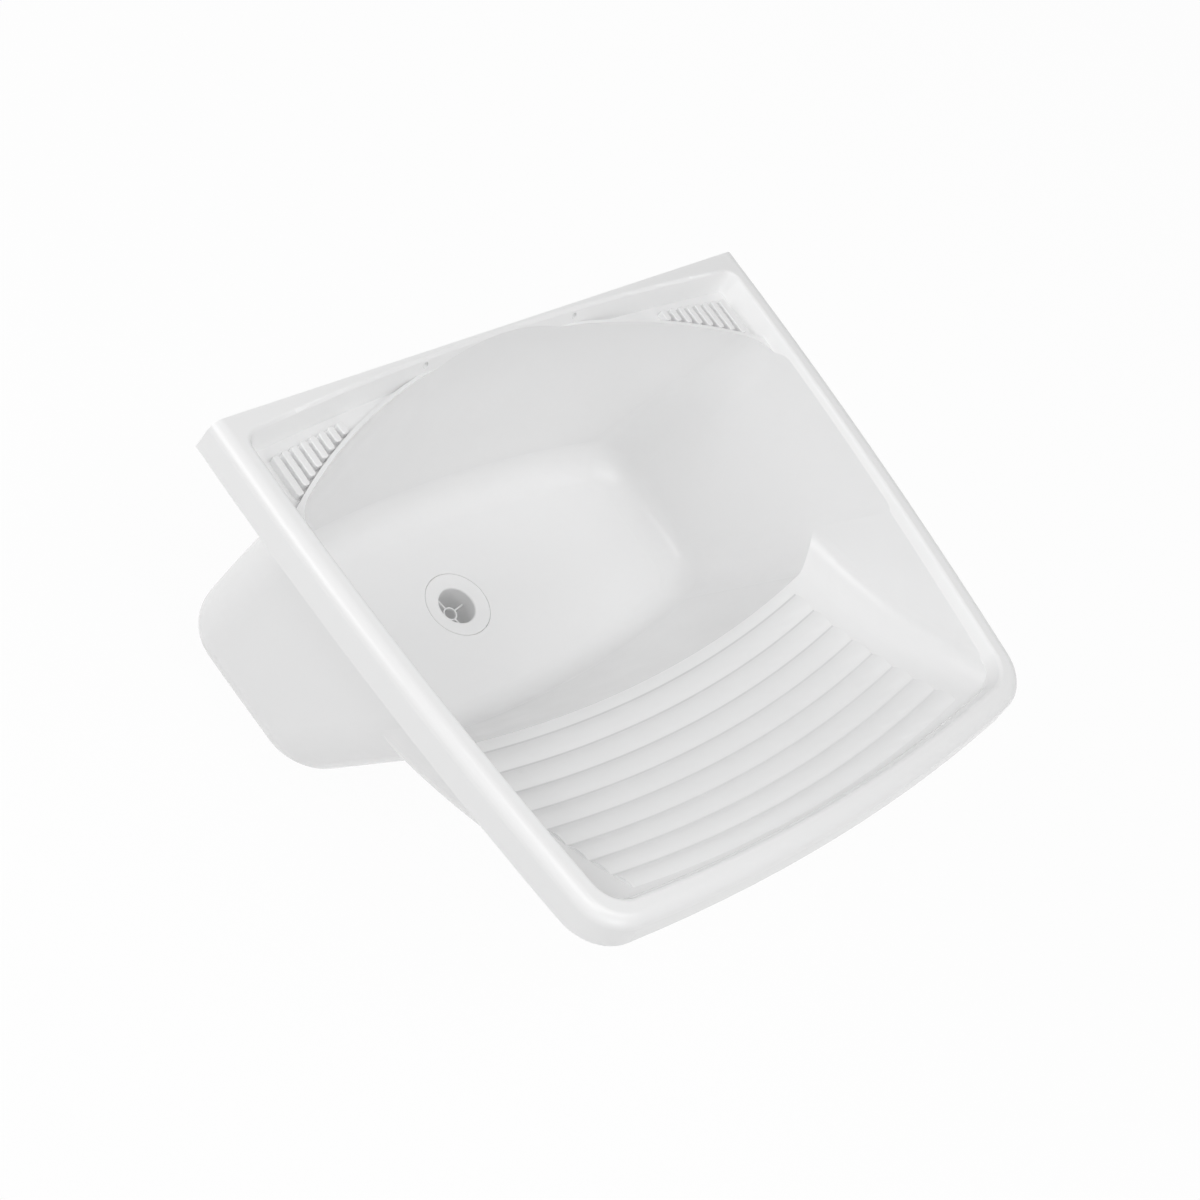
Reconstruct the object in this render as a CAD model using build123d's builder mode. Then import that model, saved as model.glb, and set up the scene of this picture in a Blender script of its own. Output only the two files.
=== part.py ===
"""Wall-hung plastic laundry tub: a moulded shell with a washboard and two soap dishes, and its drain valve.

Millimetres, +Z up, the wall at Y = 0 and the front at -Y.
The origin lies on the wall, midway between the two fixing holes.
"""
import os
from math import acos, asin, atan, cos, degrees, radians, sin, sqrt, tan

from build123d import *

os.makedirs("parts", exist_ok=True)

# Plan of the rim, seen from above
width = 560.0
front_width = 499.0
depth = 459.0
front_bow = 17.0
corner_r = 40.0

# Rim and apron
wall = 3.5
rim_width = 21.0
rim_round = 10.0
apron_height = 28.0
apron_draft = 6.0
inner_corner_r = 28.0
mouth_inset = 18.9
mouth_lean = 24.0
mouth_round = 3.5

# Fixing holes in the back of the rim
hole_pitch = 160.0
hole_dia = 5.0
hole_drop = 6.0

# Bowl
bowl_depth = 226.5
wall_lean = 21.0
lip_arc_r = 435.0
floor_arc_r = 1300.0
floor_back = 18.0
back_gap = 0.5
back_corner_r = 40.0
front_corner_r = 45.0
floor_round = 27.0
floor_front = 212.0

# Washboard: a hollow curve from the edge of the bowl up to the front of the rim
board_edge = 274.0
board_drop = 96.5
board_slope = 13.7
board_curve_r = 445.0
board_bow_r = 1000.0
cove_r = 26.0
board_front_gap = 4.0
rib_pitch = 20.7
rib_height = 3.0
rib_end_gap = 39.5
groove_width = 1.0
rib_root = 0.6
board_step = 0.8

# Soap dishes in the back corners
mouth_back_r = 2700.0
mouth_corner_r = 12.0
lip_drop = 12.0
lip_width = 2.6
ledge_lap = 30.0
dish_depth = 18.0
soap_rib_count = 8
soap_rib_pitch = 9.3
soap_rib_width = 6.0
soap_rib_end_r = 2.0
soap_rib_round = 0.8
soap_rib_first = 175.0
soap_rib_height = 6.0
soap_rib_back = 25.0
soap_rib_slant = 1.2
soap_rib_gap = 1.5

# Drain valve
drain_back = 116.0
bore_dia = 32.8
tail_dia = 41.6
tail_length = 48.0
tail_bore_dia = 34.0
outlet_dia = 40.0
outlet_length = 20.0
flange_dia = 58.4
flange_edge = 2.4
flange_bevel = 0.4
flange_dish = 1.6
seat_depth = 3.4
seat_play = 0.4
seat_boss = 3.0
hole_play = 0.7
seal_height = 1.0
strainer_drop = 16.0
strainer_height = 3.0
ring_dia = 12.6
ring_wall = 1.3
spoke_width = 1.5
spoke_count = 4
spoke_turn = 11.0
washer_height = 3.0
washer_dia = 60.0
nut_across = 54.0
nut_height = 11.0
nut_flange = 2.5
thread_play = 0.1

# Levels
rim_z = hole_drop
apron_z = rim_z - apron_height
floor_z = rim_z - bowl_depth
lip_z = rim_z - lip_drop
dish_z = rim_z - dish_depth
edge_z = rim_z - board_drop

# Room left beyond a face when one shape trims another
over = 10.0

# The washboard and the front wall of the bowl are bowed about one upright axis behind the wall
bow_y = board_bow_r - board_edge
bow_axis = Axis((0, bow_y, 0), (0, 0, 1))
bow_plane = Plane(origin=(0, bow_y, 0), x_dir=(0, 1, 0), z_dir=(1, 0, 0))
back_mid = wall + back_gap
lean_angle = degrees(atan(wall_lean / bowl_depth))
lean_over = wall_lean * over / bowl_depth
board_run = 60.0

# As many ribs as find room before the washboard meets the front wall or comes up to the soap dish lip
board_start = radians(board_slope)
board_reach = depth - rim_width - board_front_gap - board_edge
front_turn = asin(sin(board_start) + board_reach / board_curve_r)
top_turn = acos(cos(board_start) - (board_drop - lip_drop) / board_curve_r)
rib_room = (min(front_turn, top_turn) - board_start) * board_curve_r
rib_count = int(rib_room / rib_pitch - 0.5)
board_length = (rib_count + 0.5) * rib_pitch
rib_half_length = front_width / 2 - rim_width - rib_end_gap


def rim_outline(level, inset, corner):
    """Plan of the rim, moved in by inset: gently bowed sides and front, running on behind the wall."""
    half_back = width / 2 - inset
    half_front = front_width / 2 - inset
    corner_y = front_bow + inset - depth
    with BuildSketch(Plane.XY.offset(level)) as plan:
        with BuildLine():
            Line((half_back, over), (half_back, 0))
            TangentArc((half_back, 0), (half_front, corner_y), tangent=(0, -1))
            ThreePointArc((half_front, corner_y), (0, inset - depth), (-half_front, corner_y))
            TangentArc((-half_back, 0), (-half_front, corner_y), tangent=(0, -1))
            Line((-half_back, 0), (-half_back, over))
            Line((-half_back, over), (half_back, over))
        make_face()
        if corner:
            fillet(plan.vertices().group_by(Axis.Y)[0], corner)
    return plan.sketch


def leaning_walls(inset, corner):
    """A block with the leaning side and front walls of the tub, set in from the apron by inset."""
    with BuildPart() as block:
        top = rim_outline(rim_z + over, inset - lean_over, corner)
        extrude(top, amount=-bowl_depth - 2 * over, taper=lean_angle)
    return block.part


def back_plan(level, arc_r, arc_back):
    """A broad plan whose back is an arc with its middle arc_back from the wall."""
    with BuildSketch(Plane.XY.offset(level)) as plan:
        with Locations((0, -arc_back - arc_r)):
            Circle(arc_r)
        with Locations((0, -depth)):
            Rectangle(width, 2 * depth, mode=Mode.INTERSECT)
    return plan.sketch


def bowl_block(walls, grow):
    """The bowl up to the rim: arched back, front wall leaning forwards, rounded corners and floor."""
    with BuildPart() as block:
        high = back_plan(rim_z + over, lip_arc_r + grow, back_mid - grow)
        low = back_plan(floor_z - grow, floor_arc_r + grow, floor_back - grow)
        loft([high, low], ruled=True)
        add(walls, mode=Mode.INTERSECT)
        lean = (board_edge - floor_front) / (bowl_depth - board_drop)
        foot = bow_y + floor_front + grow
        with BuildSketch(bow_plane):
            with BuildLine():
                Polyline(
                    (bow_y - over, floor_z - over),
                    (foot - lean * over, floor_z - over),
                    (foot + lean * (bowl_depth + 2 * over), rim_z + 2 * over),
                    (bow_y - over, rim_z + 2 * over),
                    close=True,
                )
            make_face()
        revolve(axis=bow_axis, mode=Mode.INTERSECT)
        uprights = block.edges().filter_by(GeomType.BSPLINE).group_by(Axis.Y)
        fillet(uprights[-1], back_corner_r + grow)
        fillet(uprights[0], front_corner_r + grow)
        fillet(block.faces().sort_by(Axis.Z)[0].edges(), floor_round + grow)
    return block.part


def board_point(along, raised):
    """A point of the washboard in the bow plane, at a length along its curve and a height above it."""
    turn = board_start + along / board_curve_r
    reach = board_curve_r - raised
    return (
        bow_y + board_edge - board_curve_r * sin(board_start) + reach * sin(turn),
        edge_z + board_curve_r * cos(board_start) - reach * cos(turn),
    )


def board_block(walls, rounded_walls, grow):
    """The space over the washboard, with a cove along each side."""
    with BuildPart() as block:
        add(walls)
        first = board_point(-board_run, -grow)
        middle = board_point(board_length / 2, -grow)
        last = board_point(board_length + board_run, -grow)
        with BuildSketch(bow_plane):
            with BuildLine():
                ThreePointArc(first, middle, last)
                Polyline(last, (last[0], rim_z + 2 * over), (first[0], rim_z + 2 * over), first)
            make_face()
        revolve(axis=bow_axis, mode=Mode.INTERSECT)
        board_face = block.faces().filter_by(GeomType.TORUS)[0]
        side_edges = board_face.edges().sort_by(Axis.X)
        fillet([side_edges[0], side_edges[-1]], cove_r + grow)
        add(rounded_walls, mode=Mode.INTERSECT)
    return block.part


def mouth_plan(level, grow):
    """Plan of the opening inside the rim, moved out by grow, with its nearly straight back."""
    with BuildSketch(Plane.XY.offset(level)) as plan:
        add(rim_outline(0, mouth_inset - grow, inner_corner_r + grow))
        with Locations((0, -back_mid - mouth_back_r)):
            Circle(mouth_back_r + grow, mode=Mode.INTERSECT)
        fillet(plan.vertices().group_by(Axis.Y)[-1], mouth_corner_r + grow)
    return plan.sketch


board_inset = rim_width + board_step
inner_board_walls = leaning_walls(board_inset, inner_corner_r)
outer_board_walls = leaning_walls(board_inset - wall, inner_corner_r + wall)
bowl_space = bowl_block(leaning_walls(rim_width, inner_corner_r), 0)
bowl_body = bowl_block(leaning_walls(rim_width - wall, inner_corner_r), wall)
board_space = board_block(leaning_walls(board_inset, 0), inner_board_walls, 0)
board_body = board_block(leaning_walls(board_inset - wall, 0), outer_board_walls, wall)

# Rim with its apron, a solid slab at first
apron_inset = apron_height * tan(radians(apron_draft))
with BuildPart() as rim_slab:
    extrude(rim_outline(rim_z, apron_inset, corner_r), amount=-apron_height, taper=-apron_draft)
    split(bisect_by=Plane.XZ)
    top_edges = rim_slab.faces().sort_by(Axis.Z)[-1].edges().sort_by(Axis.Y)
    fillet(top_edges[:-1], rim_round)

# The room under the rim, open from below
with BuildPart() as rim_hollow:
    hollow_top = rim_outline(rim_z - wall, apron_inset + wall, corner_r - wall)
    extrude(hollow_top, amount=wall - apron_height - over, taper=-apron_draft)
    split(bisect_by=Plane.XZ.offset(wall))
    top_edges = rim_hollow.faces().sort_by(Axis.Z)[-1].edges().sort_by(Axis.Y)
    fillet(top_edges[:-1], rim_round - wall)

# The outside of the soap dishes, behind the bowl
with BuildPart() as dish_body:
    extrude(mouth_plan(rim_z - wall / 2, wall), amount=-dish_depth - wall / 2, taper=mouth_lean)
    with BuildSketch(Plane.XY.offset(rim_z)):
        with Locations((0, -back_mid - lip_arc_r)):
            Circle(lip_arc_r - ledge_lap)
        with Locations((0, -depth)):
            Rectangle(width, depth)
    extrude(amount=-2 * dish_depth, mode=Mode.SUBTRACT)

# The lip in front of the soap dishes follows the back of the bowl at its own level
lip_share = (over + lip_drop) / (over + bowl_depth)
lip_back = back_mid + lip_share * (floor_back - back_mid)
lip_r = 1 / ((1 - lip_share) / lip_arc_r + lip_share / floor_arc_r)

# The mouth of the tub: sloping walls down to the floors of the soap dishes.
# In front of the dishes it stops at the level of their lip.
mouth_flare = over * tan(radians(mouth_lean))
with BuildPart() as mouth_space:
    extrude(mouth_plan(rim_z + over, mouth_flare), amount=-dish_depth - over, taper=mouth_lean)
    with BuildSketch(Plane.XY.offset(lip_z)):
        with Locations((0, -lip_back - lip_r)):
            Circle(lip_r + lip_width)
    extrude(amount=-dish_depth, mode=Mode.SUBTRACT)

# The bowl and the washboard, as one space
with BuildPart() as water_space:
    add(bowl_space)
    add(board_space)

# The pillow-shaped ribs of the washboard, with a half rib at the edge of the bowl
with BuildPart() as board_ribs:
    with BuildSketch(bow_plane):
        for index in range(rib_count + 1):
            start = max(0, index - 0.5) * rib_pitch + groove_width / 2
            end = (index + 0.5) * rib_pitch - groove_width / 2
            height = rib_height * ((end - start) / rib_pitch) ** 2
            with BuildLine():
                crest = board_point((start + end) / 2, height)
                ThreePointArc(board_point(start, 0), crest, board_point(end, 0))
                Polyline(
                    board_point(end, 0),
                    board_point(end, -rib_root),
                    board_point(start, -rib_root),
                    board_point(start, 0),
                )
            make_face()
    revolve(axis=bow_axis)
    with Locations((0, -depth, 0)):
        Box(2 * rib_half_length, 2 * depth, 2 * bowl_depth, mode=Mode.INTERSECT)

# The ribs that keep the soap dry, from a slanting line at the back to just behind the lip
with BuildPart() as soap_ribs:
    with BuildSketch(Plane.XY.offset(dish_z - rib_root)):
        for index in range(soap_rib_count):
            rib_x = soap_rib_first + index * soap_rib_pitch
            lip_y = sqrt((lip_r + lip_width) ** 2 - rib_x**2) - lip_r - lip_back
            back_y = -soap_rib_back - index * soap_rib_slant
            length = back_y - lip_y - soap_rib_gap
            middle_y = back_y - length / 2
            with Locations((rib_x, middle_y), (-rib_x, middle_y)):
                RectangleRounded(soap_rib_width, length, soap_rib_end_r)
    extrude(amount=soap_rib_height + rib_root)
    fillet(soap_ribs.faces().group_by(Axis.Z)[-1].edges(), soap_rib_round)

# The drain seat: a thicker disc under the floor, a shallow recess in it and a hole for the valve
seat_z = floor_z - seat_depth
under_z = floor_z - wall - seat_boss
drain_plane = Plane.XZ.offset(drain_back)
drain_axis = Axis((0, -drain_back, 0), (0, 0, 1))
seat_r = flange_dia / 2 + seat_play
hole_r = tail_dia / 2 + hole_play

# The outside of the bowl and of the washboard, up to the underside of the rim
with BuildPart() as outer_body:
    add(bowl_body)
    add(board_body)
    split(bisect_by=Plane.XY.offset(rim_z - wall / 2), keep=Keep.BOTTOM)

with BuildPart() as tub_shell:
    add(rim_slab.part)
    add(rim_hollow.part, mode=Mode.SUBTRACT)
    add(dish_body.part)
    add(outer_body.part)
    add(mouth_space.part, mode=Mode.SUBTRACT)
    rim_face = tub_shell.faces().filter_by(Axis.Z).group_by(Axis.Z)[-1][0]
    fillet(rim_face.inner_wires()[0].edges(), mouth_round)
    add(water_space.part, mode=Mode.SUBTRACT)
    add(board_ribs.part)
    add(soap_ribs.part)
    with BuildSketch(Plane.XZ):
        with Locations((-hole_pitch / 2, 0), (hole_pitch / 2, 0)):
            Circle(hole_dia / 2)
    extrude(amount=back_mid + over, mode=Mode.SUBTRACT)
    with BuildSketch(drain_plane):
        with BuildLine():
            Polyline(
                (0, under_z),
                (seat_r + wall, under_z),
                (seat_r + wall + seat_boss, floor_z - wall / 2),
                (0, floor_z - wall / 2),
                close=True,
            )
        make_face()
    revolve(axis=drain_axis)
    with BuildSketch(drain_plane):
        with BuildLine():
            Polyline(
                (0, under_z - over),
                (hole_r, under_z - over),
                (hole_r, seat_z),
                (seat_r, seat_z),
                (seat_r, floor_z + over),
                (0, floor_z + over),
                close=True,
            )
        make_face()
    revolve(axis=drain_axis, mode=Mode.SUBTRACT)
tub_shell.part.label = "tub_shell"
export_step(tub_shell.part, "parts/tub_shell.step")

# Drain valve: dished flange, plain cylinder standing for the thread, outlet, and strainer ring on four spokes
flange_under = seat_z + seal_height
flange_top = flange_under + flange_edge
tail_z = floor_z - tail_length
outlet_z = tail_z + outlet_length
strainer_z = floor_z - strainer_drop - strainer_height / 2
strainer_top = strainer_z + strainer_height
with BuildPart() as drain_valve:
    with BuildSketch(drain_plane):
        with BuildLine():
            Polyline(
                (tail_bore_dia / 2, tail_z),
                (outlet_dia / 2, tail_z),
                (outlet_dia / 2, outlet_z),
                (tail_dia / 2, outlet_z),
                (tail_dia / 2, flange_under),
                (flange_dia / 2, flange_under),
                (flange_dia / 2, flange_top - flange_bevel),
                (flange_dia / 2 - flange_bevel, flange_top),
                (bore_dia / 2, flange_top - flange_dish),
                (bore_dia / 2, strainer_top),
                (tail_bore_dia / 2, strainer_top),
                close=True,
            )
        make_face()
    revolve(axis=drain_axis)
    spoke_length = tail_bore_dia / 2 - ring_dia / 2 + ring_wall
    with BuildSketch(Plane.XY.offset(strainer_z)):
        with Locations((0, -drain_back)):
            Circle(ring_dia / 2)
            spoke_middle = (ring_dia + spoke_length - ring_wall) / 2
            with PolarLocations(spoke_middle, spoke_count, start_angle=spoke_turn):
                Rectangle(spoke_length, spoke_width)
            Circle(ring_dia / 2 - ring_wall, mode=Mode.SUBTRACT)
    extrude(amount=strainer_height)
drain_valve.part.label = "drain_valve"
export_step(drain_valve.part, "parts/drain_valve.step")

# Thin rubber ring under the flange
with BuildPart() as flange_seal:
    with BuildSketch(Plane.XY.offset(seat_z)):
        with Locations((0, -drain_back)):
            Circle(flange_dia / 2)
            Circle(hole_r, mode=Mode.SUBTRACT)
    extrude(amount=seal_height)
flange_seal.part.label = "flange_seal"
export_step(flange_seal.part, "parts/flange_seal.step")

# Thick rubber washer between the floor and the nut
with BuildPart() as tail_washer:
    with BuildSketch(Plane.XY.offset(under_z)):
        with Locations((0, -drain_back)):
            Circle(washer_dia / 2)
            Circle(hole_r, mode=Mode.SUBTRACT)
    extrude(amount=-washer_height)
tail_washer.part.label = "tail_washer"
export_step(tail_washer.part, "parts/tail_washer.step")

# Lock nut on the tail, a hexagon with a round flange
nut_z = under_z - washer_height
with BuildPart() as lock_nut:
    with BuildSketch(Plane.XY.offset(nut_z)):
        with Locations((0, -drain_back)):
            Circle(washer_dia / 2)
    extrude(amount=-nut_flange)
    with BuildSketch(Plane.XY.offset(nut_z)):
        with Locations((0, -drain_back)):
            RegularPolygon(nut_across / 2, 6, major_radius=False)
    extrude(amount=-nut_height)
    with BuildSketch(Plane.XY.offset(nut_z)):
        with Locations((0, -drain_back)):
            Circle(tail_dia / 2 + thread_play)
    extrude(amount=-nut_height, mode=Mode.SUBTRACT)
lock_nut.part.label = "lock_nut"
export_step(lock_nut.part, "parts/lock_nut.step")
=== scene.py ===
# %% [markdown]
# # A wall-hung laundry tub in white plastic
#
# The real tub is one glossy white moulding: a rim with an apron, a deep bowl, a curved washboard
# and two soap dishes. Its only fitted item is the drain valve, with two rubber rings and a nut.
# The solid model comes in as a fixed frame, in metres, and this lesson dresses it.

# %% Load the frame
from math import cos, radians, sin

import bmesh
import bpy
from mathutils import Matrix, Quaternion, Vector


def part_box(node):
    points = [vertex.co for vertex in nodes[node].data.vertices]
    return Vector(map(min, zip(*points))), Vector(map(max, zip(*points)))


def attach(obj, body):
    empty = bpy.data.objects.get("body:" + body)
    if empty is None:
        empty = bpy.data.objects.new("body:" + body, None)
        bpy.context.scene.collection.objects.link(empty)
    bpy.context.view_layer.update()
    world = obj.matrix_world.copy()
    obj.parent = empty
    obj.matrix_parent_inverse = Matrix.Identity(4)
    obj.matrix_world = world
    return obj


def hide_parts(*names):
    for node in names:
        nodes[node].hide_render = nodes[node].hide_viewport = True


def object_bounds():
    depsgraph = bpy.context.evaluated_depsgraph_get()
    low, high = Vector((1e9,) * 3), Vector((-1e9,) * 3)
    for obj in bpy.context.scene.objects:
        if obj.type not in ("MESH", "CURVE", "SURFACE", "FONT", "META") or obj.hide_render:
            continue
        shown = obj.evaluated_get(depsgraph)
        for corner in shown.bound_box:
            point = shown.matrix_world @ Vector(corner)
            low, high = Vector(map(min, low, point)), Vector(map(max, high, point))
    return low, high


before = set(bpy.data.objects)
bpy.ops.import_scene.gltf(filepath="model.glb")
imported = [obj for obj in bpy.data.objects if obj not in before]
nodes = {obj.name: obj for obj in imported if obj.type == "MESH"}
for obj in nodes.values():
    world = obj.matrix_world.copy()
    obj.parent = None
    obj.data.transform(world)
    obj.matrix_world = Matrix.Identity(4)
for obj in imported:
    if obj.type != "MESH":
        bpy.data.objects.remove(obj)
cad_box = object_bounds()
print("pieces in the frame:", sorted(nodes))

# %% [markdown]
# The photograph looks down into the tub from the left and a little from the front, with the camera
# tilted well over. A constraint could aim the camera, but it would keep it level. So it gets a place, a
# direction and a roll, and the lens follows from how strongly the sides of the rim draw together.

# %% Camera
camera_place = Vector((-1.2279, -0.5866, 1.2288))
look_direction = Vector((0.66921, 0.20856, -0.71321))
camera_roll = radians(41.85)
lens_mm = 71.84
sensor_mm = 36.0

camera = bpy.data.objects.new("camera", bpy.data.cameras.new("camera"))
camera.data.lens = lens_mm
camera.data.sensor_width = sensor_mm
camera.location = camera_place
camera.rotation_mode = "QUATERNION"
camera.rotation_quaternion = look_direction.to_track_quat("-Z", "Y") @ Quaternion((0, 0, 1), camera_roll)
bpy.context.collection.objects.link(camera)
bpy.context.scene.camera = camera
middle = (cad_box[0] + cad_box[1]) / 2
print("camera", round((camera_place - middle).length, 3), "m from the middle of the tub")

# %% [markdown]
# White plastic is never one flat colour. The moulding has a faint cloudiness from the flow of the
# melt, a very fine grain from the steel of the mould, and gloss that changes a little from place to
# place. Every material could have its own noise for that. One node group gives all three instead, and
# each moulded piece uses it at its own scale.

# %% Moulded surface group
cloud_scale = 9.0
cloud_detail = 3.0
gloss_patch_scale = 26.0
gloss_patch_detail = 2.0
gloss_wander = 0.04
grain_detail = 1.0


def math_node(tree, operation, *values):
    """A Math node whose inputs are sockets or plain numbers; gives its result."""
    node = tree.nodes.new("ShaderNodeMath")
    node.operation = operation
    for socket, value in zip(node.inputs, values):
        if isinstance(value, (int, float)):
            socket.default_value = value
        else:
            tree.links.new(value, socket)
    return node.outputs["Value"]


def moulded_surface_group():
    """A colour that clouds slightly, a roughness that wanders and a fine grain for the bump."""
    group = bpy.data.node_groups.new("moulded surface", "ShaderNodeTree")
    face = group.interface
    face.new_socket("Light colour", in_out="INPUT", socket_type="NodeSocketColor")
    face.new_socket("Shade colour", in_out="INPUT", socket_type="NodeSocketColor")
    face.new_socket("Roughness", in_out="INPUT", socket_type="NodeSocketFloat")
    face.new_socket("Grain size", in_out="INPUT", socket_type="NodeSocketFloat")
    face.new_socket("Color", in_out="OUTPUT", socket_type="NodeSocketColor")
    face.new_socket("Roughness", in_out="OUTPUT", socket_type="NodeSocketFloat")
    face.new_socket("Grain", in_out="OUTPUT", socket_type="NodeSocketFloat")

    tree = group.nodes
    link = group.links.new
    given = tree.new("NodeGroupInput")
    result = tree.new("NodeGroupOutput")
    place = tree.new("ShaderNodeTexCoord")

    clouds = tree.new("ShaderNodeTexNoise")
    clouds.inputs["Scale"].default_value = cloud_scale
    clouds.inputs["Detail"].default_value = cloud_detail
    link(place.outputs["Object"], clouds.inputs["Vector"])
    tint = tree.new("ShaderNodeMix")
    tint.data_type = "RGBA"
    link(clouds.outputs["Fac"], tint.inputs["Factor"])
    link(given.outputs["Light colour"], tint.inputs["A"])
    link(given.outputs["Shade colour"], tint.inputs["B"])
    link(tint.outputs["Result"], result.inputs["Color"])

    patches = tree.new("ShaderNodeTexNoise")
    patches.inputs["Scale"].default_value = gloss_patch_scale
    patches.inputs["Detail"].default_value = gloss_patch_detail
    link(place.outputs["Object"], patches.inputs["Vector"])
    wander = tree.new("ShaderNodeMapRange")
    wander.inputs["To Min"].default_value = -gloss_wander
    wander.inputs["To Max"].default_value = gloss_wander
    link(patches.outputs["Fac"], wander.inputs["Value"])
    rough = math_node(group, "ADD", given.outputs["Roughness"], wander.outputs["Result"])
    link(rough, result.inputs["Roughness"])

    pits = tree.new("ShaderNodeTexNoise")
    pits.inputs["Detail"].default_value = grain_detail
    link(place.outputs["Object"], pits.inputs["Vector"])
    link(given.outputs["Grain size"], pits.inputs["Scale"])
    link(pits.outputs["Fac"], result.inputs["Grain"])
    return group


moulded_surface = moulded_surface_group()
print("group", moulded_surface.name, "has", len(moulded_surface.nodes), "nodes")

# %% [markdown]
# The tub and its valve are glossy white plastic, and the rings of the drain are dull black rubber. Each
# could have a tree of its own, but they differ only in colour, gloss and grain. So one function places
# the group in each, and sets what stays the same all over, such as the strength of the reflection,
# straight on the shader.

# %% Plastic and rubber
reflection = 0.4


def moulded_material(name, light, shade, roughness, grain_size, grain_depth):
    """A moulded finish: group colour and roughness, and a fine bump."""
    material = bpy.data.materials.new(name)
    material.use_nodes = True
    tree = material.node_tree.nodes
    link = material.node_tree.links.new
    shader = tree["Principled BSDF"]
    shader.inputs["Specular IOR Level"].default_value = reflection
    surface = tree.new("ShaderNodeGroup")
    surface.node_tree = moulded_surface
    surface.inputs["Light colour"].default_value = (*light, 1)
    surface.inputs["Shade colour"].default_value = (*shade, 1)
    surface.inputs["Roughness"].default_value = roughness
    surface.inputs["Grain size"].default_value = grain_size
    bump = tree.new("ShaderNodeBump")
    bump.inputs["Strength"].default_value = 1.0
    bump.inputs["Distance"].default_value = grain_depth
    link(surface.outputs["Color"], shader.inputs["Base Color"])
    link(surface.outputs["Roughness"], shader.inputs["Roughness"])
    link(surface.outputs["Grain"], bump.inputs["Height"])
    link(bump.outputs["Normal"], shader.inputs["Normal"])
    return material


tub_white = moulded_material(
    "tub white", light=(0.945, 0.945, 0.945), shade=(0.93, 0.931, 0.933),
    roughness=0.20, grain_size=220.0, grain_depth=0.000002,
)
valve_white = moulded_material(
    "valve white", light=(0.95, 0.95, 0.95), shade=(0.935, 0.935, 0.937),
    roughness=0.30, grain_size=400.0, grain_depth=0.000002,
)
black_rubber = moulded_material(
    "black rubber", light=(0.02, 0.02, 0.021), shade=(0.035, 0.035, 0.036),
    roughness=0.6, grain_size=1200.0, grain_depth=0.00004,
)
print("materials:", [material.name for material in bpy.data.materials])

# %% [markdown]
# The pillow-shaped ribs of the washboard meet in narrow roots, where shade falls as thin dark lines.
# That shade is painted: a grey line laid into the colour of the tub. Painting it would need a picture,
# but nodes can follow the rule that the ribs follow. They are turned about an upright axis far behind
# the tub, on a slope that is itself an arc. So the distance from that axis gives the place along the
# slope, counted in ribs. The board starts with half a rib at the edge of the bowl, so the roots lie at
# the halves, and the part after the whole number tells how far away the nearest one is. The painted
# shade is kept to the length of the ribs and to the upper side, because the outside of the tub lies
# only one wall below, and it gets fainter towards the front.

# %% Painted shade in the roots of the washboard ribs
edge_back = 0.274
edge_level = -0.0905
bow_r = 1.0
slope_r = 0.445
slope_start = radians(13.7)
rib_pitch = 0.0207
rib_count = 8
rib_half_length = 0.189
first_root = 0.5
root_half_width = 0.0003
root_fade = 0.0008
root_shade_strength = 0.30
front_fade = 0.08
surface_slack = 0.001
# painted shade: the grey that darkens the roots between the ribs
root_shade_grey = (0.3, 0.3, 0.31)


def root_shade_mask(tree):
    """How strongly the painted shade shows: most in the roots between the ribs, less to the front, else 0.
    """
    place = tree.nodes.new("ShaderNodeTexCoord")
    split = tree.nodes.new("ShaderNodeSeparateXYZ")
    tree.links.new(place.outputs["Object"], split.inputs["Vector"])
    x, y, z = (split.outputs[name] for name in "XYZ")

    behind = math_node(tree, "SUBTRACT", bow_r - edge_back, y)
    squares = math_node(tree, "ADD", math_node(tree, "POWER", behind, 2), math_node(tree, "POWER", x, 2))
    reach = math_node(tree, "SQRT", squares)
    from_centre = math_node(tree, "ADD", reach, slope_r * sin(slope_start) - bow_r)
    turn = math_node(tree, "ARCSINE", math_node(tree, "DIVIDE", from_centre, slope_r))
    ribs_in_turn = slope_r / rib_pitch
    ribs_along = math_node(tree, "MULTIPLY_ADD", turn, ribs_in_turn, -slope_start * ribs_in_turn)
    in_rib = math_node(tree, "FRACT", ribs_along)
    from_root = math_node(tree, "ABSOLUTE", math_node(tree, "SUBTRACT", in_rib, first_root))
    line = tree.nodes.new("ShaderNodeMapRange")
    line.inputs["From Min"].default_value = root_half_width / rib_pitch
    line.inputs["From Max"].default_value = (root_half_width + root_fade) / rib_pitch
    line.inputs["To Min"].default_value = root_shade_strength
    line.inputs["To Max"].default_value = 0
    tree.links.new(from_root, line.inputs["Value"])

    on_ribs = math_node(tree, "COMPARE", ribs_along, rib_count / 2, rib_count / 2)
    in_length = math_node(tree, "COMPARE", x, 0, rib_half_length)
    fall = math_node(tree, "MULTIPLY", math_node(tree, "COSINE", turn), slope_r)
    level = math_node(tree, "SUBTRACT", edge_level + slope_r * cos(slope_start) - surface_slack, fall)
    on_top = math_node(tree, "GREATER_THAN", z, level)
    limits = math_node(tree, "MULTIPLY", math_node(tree, "MULTIPLY", on_ribs, in_length), on_top)
    fainter = math_node(tree, "MULTIPLY_ADD", ribs_along, -front_fade, 1)
    return math_node(tree, "MULTIPLY", math_node(tree, "MULTIPLY", line.outputs["Result"], fainter), limits)


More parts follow.
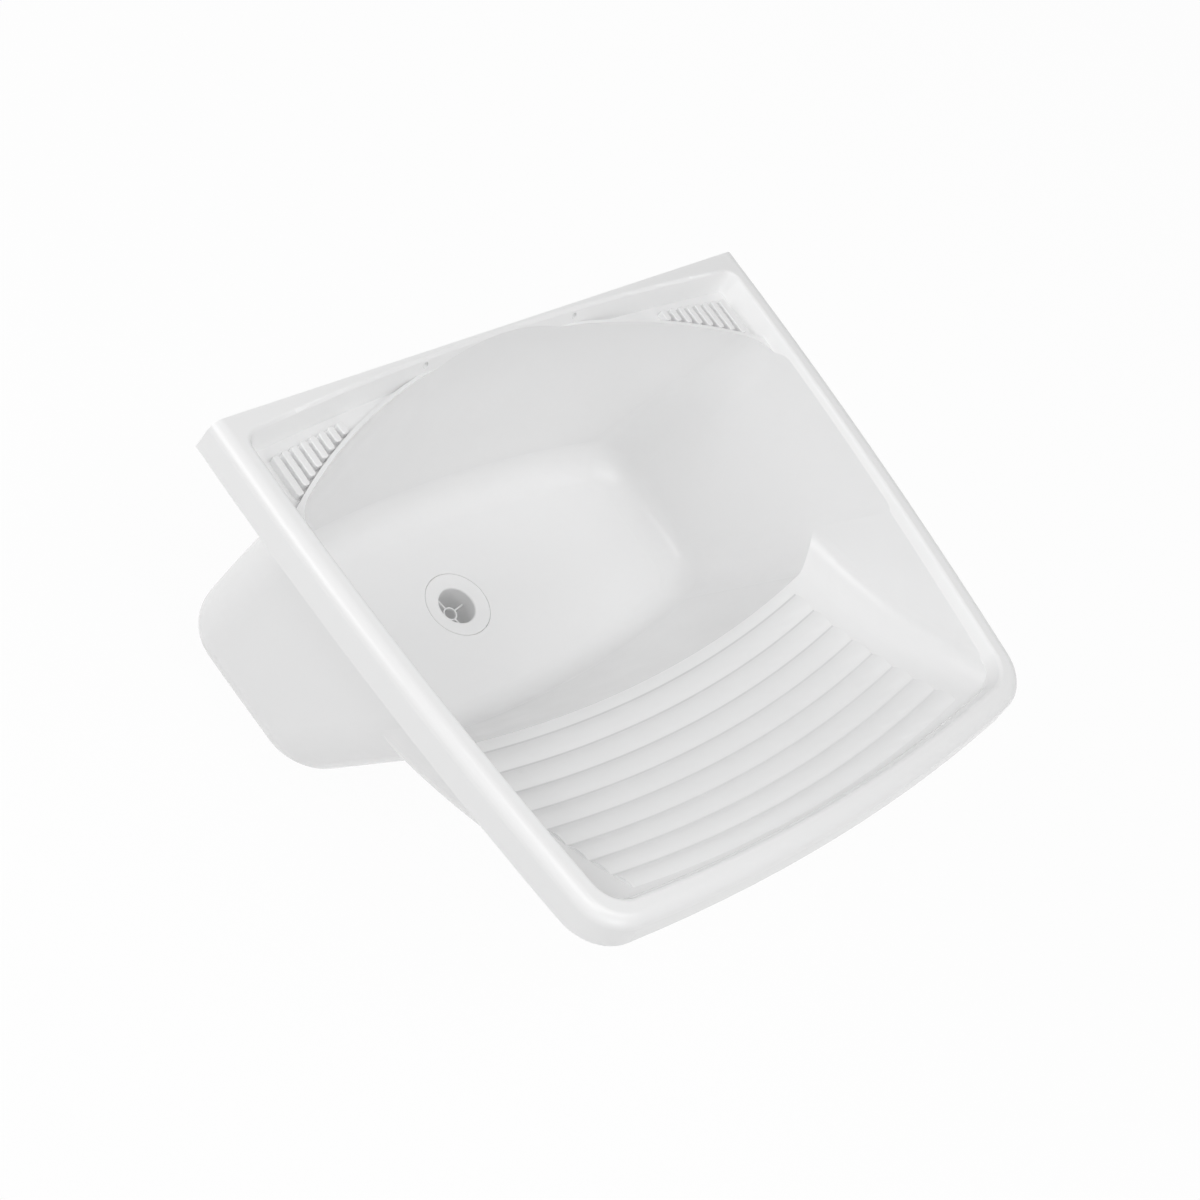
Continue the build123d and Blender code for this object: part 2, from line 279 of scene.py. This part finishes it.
def shade_roots(material, colour):
    """Lays the painted shade of the root lines over the colour that the material already has."""
    tree = material.node_tree
    base = tree.nodes["Principled BSDF"].inputs["Base Color"]
    plain = base.links[0].from_socket
    mix = tree.nodes.new("ShaderNodeMix")
    mix.data_type = "RGBA"
    mix.inputs["B"].default_value = (*colour, 1)
    tree.links.new(root_shade_mask(tree), mix.inputs["Factor"])
    tree.links.new(plain, mix.inputs["A"])
    tree.links.new(mix.outputs["Result"], base)


# the tub's white gets painted shade in the roots of the washboard ribs
shade_roots(tub_white, root_shade_grey)
print("roots between", rib_count, "ribs at", rib_pitch, "m")

# %% [markdown]
# The shell is the tub itself: rim, bowl, washboard and soap dishes in one piece. A new mesh could be
# laid over the solid, but the solid already has every curve, rib and opening of the moulding. So it
# keeps its form and takes the white plastic.

# %% Dress the shell
shell = nodes["tub_shell"]
shell.data.materials.clear()
shell.data.materials.append(tub_white)
print(shell.name, "takes", tub_white.name)

# %% [markdown]
# The pieces of the drain are round. They could be stacked from cylinders, but a closed outline beside
# the axis of the drain shows the whole section at once, and a spin about the axis makes it round. A
# mould leaves no sharp corner, and a bevel after the spin rounds a whole ring in one step. Weighted
# normals then keep the flats flat and leave the bend to the narrow bevels.

# %% Tools for round pieces
spin_steps = 96
corner_limit = radians(35)
corner_segments = 3
valve_low, valve_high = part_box("drain_valve")
drain = Vector(((valve_low.x + valve_high.x) / 2, (valve_low.y + valve_high.y) / 2, 0))


def outline(work, points):
    """A closed outline of (radius, height) points beside the drain axis."""
    corners = [work.verts.new((drain.x + radius, drain.y, height)) for radius, height in points]
    sides = [work.edges.new((corners[i - 1], corners[i])) for i in range(len(corners))]
    return corners + sides


def round_corners(work, faces, amount):
    """Bevels every sharp edge of these faces."""
    bmesh.ops.recalc_face_normals(work, faces=faces)
    sharp = {edge for face in faces for edge in face.edges if edge.calc_face_angle(0) > corner_limit}
    bmesh.ops.bevel(
        work, geom=list(sharp), offset=amount, offset_type="OFFSET", affect="EDGES",
        segments=corner_segments, profile=0.5, material=-1, clamp_overlap=True,
    )


def spun(work, points):
    """Spins an outline right round the drain axis and gives the new faces."""
    before = set(work.faces)
    bmesh.ops.spin(
        work, geom=outline(work, points), cent=drain, axis=(0, 0, 1),
        angle=radians(360), steps=spin_steps, use_merge=True,
    )
    return [face for face in work.faces if face not in before]


def stand_for(node, work, finish):
    """Turns the work into a smooth piece that takes the place of a solid."""
    bmesh.ops.recalc_face_normals(work, faces=work.faces)
    for face in work.faces:
        face.smooth = True
    mesh = bpy.data.meshes.new(node + "_finish")
    work.to_mesh(mesh)
    work.free()
    mesh.materials.append(finish)
    piece = bpy.data.objects.new(node + "_finish", mesh)
    bpy.context.collection.objects.link(piece)
    piece.modifiers.new("even shading", "WEIGHTED_NORMAL")
    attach(piece, "root")
    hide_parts(node)
    print(piece.name, "has", len(mesh.polygons), "faces")


print("drain axis at", [round(value, 4) for value in drain])

# %% [markdown]
# The valve is a plastic moulding that drops into the floor of the bowl. Its body could be joined from
# tubes and discs, but spun from one outline it has no walls inside: a dished flange, the bore, and a
# plain outlet below. The ring where the flange turns down into the bore gets a wider bevel, a soft lip.

# %% Valve body
flange_r = (valve_high.x - valve_low.x) / 2
flange_edge = 0.0024
flange_dish = 0.0016
lip_round = 0.0014
lip_segments = 4
valve_corner = 0.0003
bore_r = 0.0164
lower_bore_r = 0.0170
outlet_r = 0.0200
outlet_length = 0.020
core_r = 0.0201
strainer_drop = 0.0145
touch = 1e-6

top = valve_high.z
under_flange = top - flange_edge
lip = top - flange_dish
outlet_top = valve_low.z + outlet_length
strainer_top = top - strainer_drop
valve = bmesh.new()
body = spun(valve, (
    (lower_bore_r, valve_low.z),
    (outlet_r, valve_low.z),
    (outlet_r, outlet_top),
    (core_r, outlet_top),
    (core_r, under_flange),
    (flange_r, under_flange),
    (flange_r, top),
    (bore_r, lip),
    (bore_r, strainer_top),
    (lower_bore_r, strainer_top),
))


def on_bore_lip(vert):
    """Whether a point lies on the ring where the flange turns down into the bore."""
    return abs(vert.co.z - lip) < touch and (vert.co.xy - drain.xy).length < bore_r + touch


bore_lip = {edge for face in body for edge in face.edges if all(on_bore_lip(vert) for vert in edge.verts)}
bmesh.ops.bevel(
    valve, geom=list(bore_lip), offset=lip_round, offset_type="OFFSET", affect="EDGES",
    segments=lip_segments, profile=0.5, material=-1,
)
round_corners(valve, list(valve.faces), valve_corner)
print("valve body has", len(valve.faces), "faces")

# %% [markdown]
# The tail below the flange carries the thread that the nut runs on. A stack of rings would look much
# the same from afar, but a small tooth spun with a rise at each step makes a real helix. Its foot lies
# inside the wall, so that no gap shows, and its two open ends are closed afterwards.

# %% Thread of the valve
thread_r = 0.0208
thread_pitch = 0.002
thread_turns = 9
turn_steps = 64
thread_sink = 0.0003
tooth_root = 0.45
tooth_tip = 0.1

before = set(valve.faces)
first = outlet_top + thread_pitch / 2
tooth = outline(valve, (
    (core_r - thread_sink, first - thread_pitch * tooth_root),
    (thread_r, first - thread_pitch * tooth_tip),
    (thread_r, first + thread_pitch * tooth_tip),
    (core_r - thread_sink, first + thread_pitch * tooth_root),
))
bmesh.ops.spin(
    valve, geom=tooth, cent=drain, axis=(0, 0, 1), dvec=(0, 0, thread_pitch / turn_steps),
    angle=radians(360 * thread_turns), steps=turn_steps * thread_turns,
)
thread = [face for face in valve.faces if face not in before]
open_ends = {edge for face in thread for edge in face.edges if edge.is_boundary}
bmesh.ops.holes_fill(valve, edges=list(open_ends), sides=4)
print("thread of", thread_turns, "turns, one every", thread_pitch, "m")

# %% [markdown]
# A strainer sits in the bore: a small ring held by four spokes. It could be cut out of a disc, but a cut
# leaves uneven faces to bevel. So the ring is spun, and each spoke is a short bar with rounded edges
# that runs into the ring at one end and into the wall of the bore at the other.

# %% Strainer of the valve
strainer_height = 0.003
ring_r = 0.0063
ring_wall = 0.0013
spoke_width = 0.0015
spoke_height = 0.0027
spoke_sink = 0.0003
strainer_corner = 0.0004
spoke_count = 4
spoke_turn = radians(11)

ring = spun(valve, (
    (ring_r - ring_wall, strainer_top - strainer_height),
    (ring_r, strainer_top - strainer_height),
    (ring_r, strainer_top),
    (ring_r - ring_wall, strainer_top),
))
round_corners(valve, ring, strainer_corner)
spoke_from = ring_r - ring_wall / 2
spoke_length = lower_bore_r + spoke_sink - spoke_from
spoke_middle = Vector((spoke_from + spoke_length / 2, 0, strainer_top - strainer_height / 2))
spoke_size = Matrix.Diagonal((spoke_length, spoke_width, spoke_height, 1))
for index in range(spoke_count):
    turn = Matrix.Rotation(spoke_turn + index * radians(360 / spoke_count), 4, "Z")
    place = Matrix.Translation(drain) @ turn @ Matrix.Translation(spoke_middle) @ spoke_size
    bar = bmesh.ops.create_cube(valve, size=1, matrix=place)
    sides = {face for vert in bar["verts"] for face in vert.link_faces}
    round_corners(valve, list(sides), strainer_corner)
stand_for("drain_valve", valve, valve_white)

# %% [markdown]
# The nut under the tub pulls the valve down on its rings. It could be a solid block with a hole cut
# through, but a hexagon and a round bore bridged into one flat face need no cut, and the face is extruded
# to the height of the nut. Its round flange is spun, and the same bevel takes the corners off both.

# %% Lock nut
nut_low, nut_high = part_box("lock_nut")
nut_sides = 6
nut_bore_r = 0.0209
nut_flange_r = 0.030
nut_flange = 0.0025
nut_corner = 0.0007
collar_corner = 0.0006
nut_corner_r = (nut_high.x - nut_low.x) / 2
nut = bmesh.new()
nut_place = Matrix.Translation((drain.x, drain.y, nut_high.z - nut_flange / 2))
nut_turn = Matrix.Rotation(radians(180 / nut_sides), 4, "Z")
bmesh.ops.create_circle(nut, segments=nut_sides, radius=nut_corner_r, matrix=nut_place @ nut_turn)
bmesh.ops.subdivide_edges(nut, edges=list(nut.edges), cuts=spin_steps // nut_sides - 1)
bmesh.ops.create_circle(nut, segments=spin_steps, radius=nut_bore_r, matrix=nut_place)
flat = bmesh.ops.bridge_loops(nut, edges=list(nut.edges))
grown = bmesh.ops.extrude_face_region(nut, geom=flat["faces"], use_keep_orig=True)
bmesh.ops.translate(
    nut, vec=(0, 0, nut_low.z - nut_high.z + nut_flange / 2),
    verts=[item for item in grown["geom"] if isinstance(item, bmesh.types.BMVert)],
)
round_corners(nut, list(nut.faces), nut_corner)
collar = spun(nut, (
    (nut_bore_r, nut_high.z - nut_flange),
    (nut_flange_r, nut_high.z - nut_flange),
    (nut_flange_r, nut_high.z),
    (nut_bore_r, nut_high.z),
))
round_corners(nut, collar, collar_corner)
stand_for("lock_nut", nut, valve_white)

# %% [markdown]
# Two rubber rings keep the drain tight: a thin seal under the flange of the valve, and a thick washer
# under the floor of the bowl. A torus would be too round for them, so each is a plain section with soft
# corners. The thick one is rounder, as a moulded washer is, and the thin one is nearly a sheet.

# %% Rubber rings
floor_hole_r = 0.0215
seal_corner = 0.0003
washer_corner = 0.0009
for node, soften in (("flange_seal", seal_corner), ("tail_washer", washer_corner)):
    ring_low, ring_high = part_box(node)
    outer_r = (ring_high.x - ring_low.x) / 2
    rubber = bmesh.new()
    section = spun(rubber, (
        (floor_hole_r, ring_low.z),
        (outer_r, ring_low.z),
        (outer_r, ring_high.z),
        (floor_hole_r, ring_high.z),
    ))
    round_corners(rubber, section, soften)
    stand_for(node, rubber, black_rubber)

# %% [markdown]
# The photograph shows the tub alone on white. Lamps that burn a floor to white would burn the white tub
# too. So the floor is a plain pale sheet that only looks nearly white to the camera and in reflections.
# A small share of its own lit surface stays in, and carries a faint shadow of the tub.

# %% Floor
floor_drop = 0.002
floor_half = 6.0
floor_grey = 0.85
white_share = 0.96


def shown_rays(tree):
    """1 for the rays that the camera sees by, straight, reflected or through glass, and 0 for all others."""
    rays = tree.nodes.new("ShaderNodeLightPath").outputs
    seen = math_node(tree, "MAXIMUM", rays["Is Camera Ray"], rays["Is Glossy Ray"])
    return math_node(tree, "MAXIMUM", seen, rays["Is Transmission Ray"])


def pale_floor_material():
    """A pale floor that the camera and reflections see as white, darkened only by the faint shadow."""
    material = bpy.data.materials.new("pale floor")
    material.use_nodes = True
    tree = material.node_tree.nodes
    link = material.node_tree.links.new
    tree.remove(tree["Principled BSDF"])
    lit = tree.new("ShaderNodeBsdfDiffuse")
    lit.inputs["Color"].default_value = (floor_grey, floor_grey, floor_grey, 1)
    white = tree.new("ShaderNodeEmission")
    white.inputs["Color"].default_value = (1, 1, 1, 1)
    share = math_node(material.node_tree, "MULTIPLY", shown_rays(material.node_tree), white_share)
    mix = tree.new("ShaderNodeMixShader")
    link(share, mix.inputs["Fac"])
    link(lit.outputs["BSDF"], mix.inputs[1])
    link(white.outputs["Emission"], mix.inputs[2])
    link(mix.outputs["Shader"], tree["Material Output"].inputs["Surface"])
    return material


floor_level = cad_box[0].z - floor_drop
floor_mesh = bpy.data.meshes.new("floor")
sheet = bmesh.new()
bmesh.ops.create_grid(sheet, x_segments=1, y_segments=1, size=floor_half)
bmesh.ops.translate(sheet, verts=sheet.verts, vec=(0, 0, floor_level))
sheet.to_mesh(floor_mesh)
sheet.free()
floor_mesh.materials.append(pale_floor_material())
floor = bpy.data.objects.new("floor", floor_mesh)
bpy.context.collection.objects.link(floor)
print("floor at", round(floor_level, 4))

# %% [markdown]
# The light is a soft studio: an even pale room and broad square lamps, some low on the left, behind and
# in front, some high above. A room alone would light a white tub from all sides and flatten it. The low
# lamps reach over the left rim and light the right wall and the right end of the washboard, while the
# bowl behind the rim stays in soft shade. That shade is what shows the form of a white object, so the
# lamps are kept weak enough for nothing to clip. The room itself looks white to the camera, like the
# floor, but it lights the tub only at its own low strength.

# %% World and lamps
lamp_distance = 2.6
lamp_size = 1.3
lamp_target = Vector((0, -0.23, -0.08))
room_strength = 0.25


def soft_lamp(name, azimuth, elevation, power):
    """A square lamp facing the tub. Azimuth 0 is in front, 270 to the left; elevation is above the rim."""
    across, up = radians(azimuth), radians(elevation)
    away = Vector((sin(across) * cos(up), -cos(across) * cos(up), sin(up)))
    lamp = bpy.data.lights.new(name, "AREA")
    lamp.size = lamp_size
    lamp.energy = power
    holder = bpy.data.objects.new(name, lamp)
    holder.location = lamp_target + lamp_distance * away
    holder.rotation_mode = "QUATERNION"
    holder.rotation_quaternion = (-away).to_track_quat("-Z", "Y")
    bpy.context.collection.objects.link(holder)


def white_room():
    """A world that lights the tub evenly and weakly, and looks white to the camera."""
    world = bpy.data.worlds.new("room")
    world.use_nodes = True
    tree = world.node_tree.nodes
    link = world.node_tree.links.new
    room = tree["Background"]
    room.inputs["Color"].default_value = (1, 1, 1, 1)
    room.inputs["Strength"].default_value = room_strength
    backdrop = tree.new("ShaderNodeBackground")
    backdrop.inputs["Color"].default_value = (1, 1, 1, 1)
    backdrop.inputs["Strength"].default_value = 1
    mix = tree.new("ShaderNodeMixShader")
    link(shown_rays(world.node_tree), mix.inputs["Fac"])
    link(room.outputs["Background"], mix.inputs[1])
    link(backdrop.outputs["Background"], mix.inputs[2])
    link(mix.outputs["Shader"], tree["World Output"].inputs["Surface"])
    return world


bpy.context.scene.world = white_room()
soft_lamp("wall side lamp", azimuth=245, elevation=25, power=17.2)
soft_lamp("low wall lamp", azimuth=195, elevation=12, power=8.0)
soft_lamp("front lamp", azimuth=345, elevation=25, power=11.6)
soft_lamp("high left lamp", azimuth=300, elevation=68, power=13.6)
soft_lamp("camera side lamp", azimuth=290, elevation=45, power=2.6)
soft_lamp("high right lamp", azimuth=30, elevation=68, power=12.6)
bpy.context.scene.view_settings.view_transform = "Standard"
print("lamps:", [light.name for light in bpy.data.lights])
